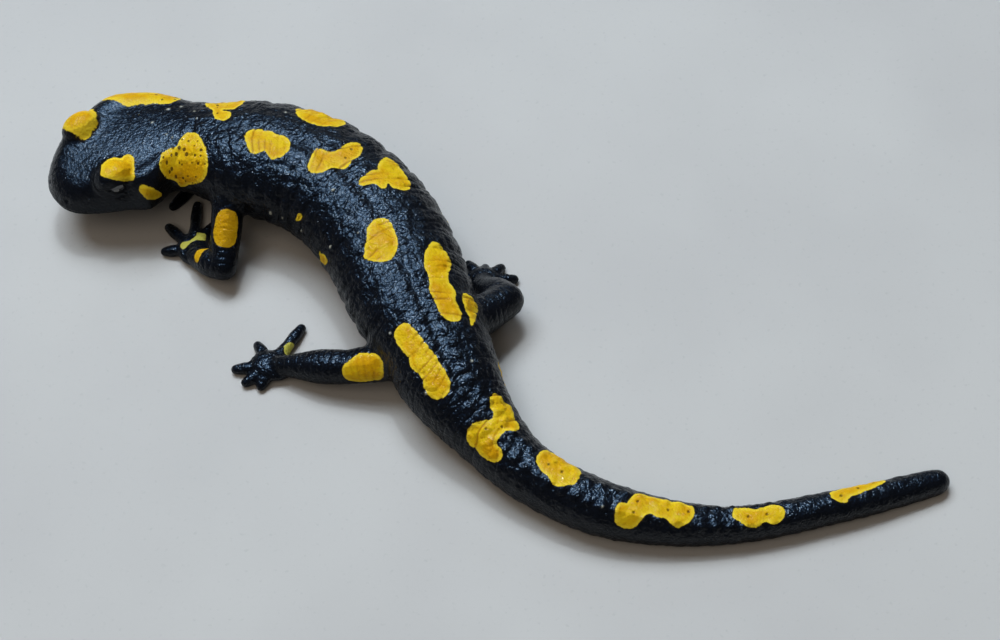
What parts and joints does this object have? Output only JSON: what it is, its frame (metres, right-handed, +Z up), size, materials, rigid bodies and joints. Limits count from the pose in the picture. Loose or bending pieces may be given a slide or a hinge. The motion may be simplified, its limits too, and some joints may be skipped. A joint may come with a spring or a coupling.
{
  "type": "fire salamander model",
  "caption": "Still, life-size fire salamander in the middle of a stride, head turned to its left, long round tail trailing in a curve; wet black skin with yellow blotches.",
  "frame": {"origin": "on the floor, under the middle of the animal's bounding box", "axes": "+X from the snout's end to the tail's end of the curved body, +Y away from the side that the left legs show on, +Z up"},
  "size_m": [0.1472, 0.0834, 0.0183],
  "materials": {
    "skin": "wet, glossy and finely wrinkled black with saturated yellow blotches",
    "eye": "wet, mirror-smooth black"
  },
  "bodies": {
    "root": {"head": "skin", "eye_left": "eye", "eye_right": "eye", "neck": "skin", "torso_front": "skin", "torso_middle": "skin", "torso_rear": "skin", "tail_root": "skin", "tail_middle": "skin", "tail_rear": "skin", "tail_tip": "skin", "left_upper_arm": "skin", "left_forearm": "skin", "left_hand": "skin", "right_upper_arm": "skin", "right_forearm": "skin", "right_hand": "skin", "left_thigh": "skin", "left_shank": "skin", "left_foot": "skin", "right_thigh": "skin", "right_shank": "skin", "right_foot": "skin"}
  },
  "joints": []
}
